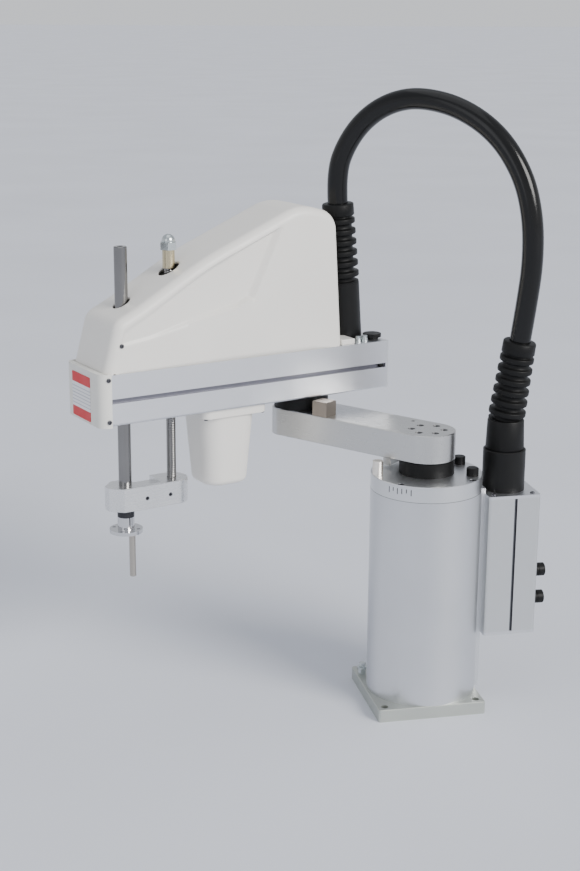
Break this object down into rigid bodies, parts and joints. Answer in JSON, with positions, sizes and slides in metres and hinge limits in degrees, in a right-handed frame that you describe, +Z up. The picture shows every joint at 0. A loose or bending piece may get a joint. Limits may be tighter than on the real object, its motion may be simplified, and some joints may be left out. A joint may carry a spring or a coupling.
{
  "type": "SCARA robot arm",
  "caption": "Four-axis SCARA robot arm on a round column, with a screw-driven vertical shaft, an overhead hose and a tool flange.",
  "frame": {"origin": "on the shoulder axis, at the underside of the base plate", "axes": "+Z up along the shoulder axis; +X to the rear, towards the connector box; the arms work towards -X"},
  "size_m": [0.5893, 0.2971, 0.7593],
  "materials": {
    "anodised": "satin",
    "plate": "satin",
    "machined": "satin",
    "stop_metal": "satin",
    "screws": "satin",
    "zinc": "satin",
    "steel": "satin",
    "bright_steel": "polished",
    "dark_steel": "satin",
    "brass": "satin",
    "motor": "matte",
    "black_rubber": "matte",
    "hose": "gloss",
    "black_plastic": "matte",
    "ivory": "satin",
    "cap_paint": "satin",
    "label": "satin"
  },
  "bodies": {
    "base": {"base_plate": "plate", "base_screws": "screws", "ground_post": "zinc", "ground_screw": "zinc", "column": "anodised", "column_cap": "anodised", "j1_seal_ring": "black_rubber", "j1_reducer": "steel", "j1_motor": "motor", "j1_stop_bumpers": "black_rubber", "origin_post": "bright_steel", "connector_box": "anodised", "connector_box_floor": "anodised", "connector_box_lid": "anodised", "connector_box_screws": "screws", "cable_sockets": "black_plastic", "base_gland_nut": "black_plastic", "base_gland_boot": "black_rubber", "hose_lower": "hose"},
    "arm_1": {"arm_1": "machined", "shoulder_screws": "screws", "shoulder_flange": "steel", "elbow_bearing": "steel", "elbow_seal_ring": "black_rubber", "elbow_stop_block": "stop_metal"},
    "arm_2": {"arm_2_frame": "anodised", "elbow_hub": "steel", "elbow_stop_pins": "steel", "elbow_reducer": "steel", "elbow_motor": "motor", "front_cap": "cap_paint", "front_label": "label", "rear_cap": "anodised", "rear_deck": "anodised", "rear_plug": "black_plastic", "air_fittings": "zinc", "top_cover": "ivory", "motor_cover": "ivory", "arm_2_screws": "screws", "z_housing": "machined", "nut_bearing": "steel", "shaft_bush": "steel", "z_motor": "motor", "z_belt": "black_rubber", "arm_gland_nut": "black_plastic", "arm_gland_boot": "black_rubber", "hose_upper": "hose"},
    "nut": {"ball_nut": "steel", "nut_pulley": "steel"},
    "motor_drive": {"motor_shaft": "steel", "motor_pulley": "steel"},
    "z_axis": {"z_shaft": "bright_steel", "ball_screw": "bright_steel", "screw_collar": "brass", "screw_cap_nut": "zinc", "link_block": "machined", "block_set_screws": "screws", "tool_flange": "bright_steel", "shaft_collar": "dark_steel", "tool_pin": "steel"}
  },
  "joints": [
    {"name": "shoulder", "type": "hinge", "parent": "base", "child": "arm_1", "pos_m": [0, 0, 0.318], "axis": [0, 0, 1], "range_deg": [-75.5, 174.5], "deforming": ["hose_lower"]},
    {"name": "elbow", "type": "hinge", "parent": "arm_1", "child": "arm_2", "pos_m": [-0.12664, 0.14828, 0.354], "axis": [0, 0, 1], "range_deg": [-181.5, 42.5], "deforming": ["hose_upper"]},
    {"name": "z_slide", "type": "slide", "parent": "arm_2", "child": "z_axis", "axis": [0, 0, 1], "range_m": [-0.068, 0.082]},
    {"name": "nut_spin", "type": "hinge", "parent": "arm_2", "child": "nut", "pos_m": [-0.30612, 0.08295, 0.4], "axis": [0, 0, 1], "range_deg": [-2500, 2100]},
    {"name": "motor_spin", "type": "hinge", "parent": "arm_2", "child": "motor_drive", "pos_m": [-0.24222, 0.10621, 0.4], "axis": [0, 0, 1], "range_deg": [-4150, 3450]}
  ],
  "couplings": [
    {"joint": "nut_spin", "follows": "z_slide", "rad_per_m": -523.6},
    {"joint": "motor_spin", "follows": "z_slide", "rad_per_m": -872.66}
  ]
}
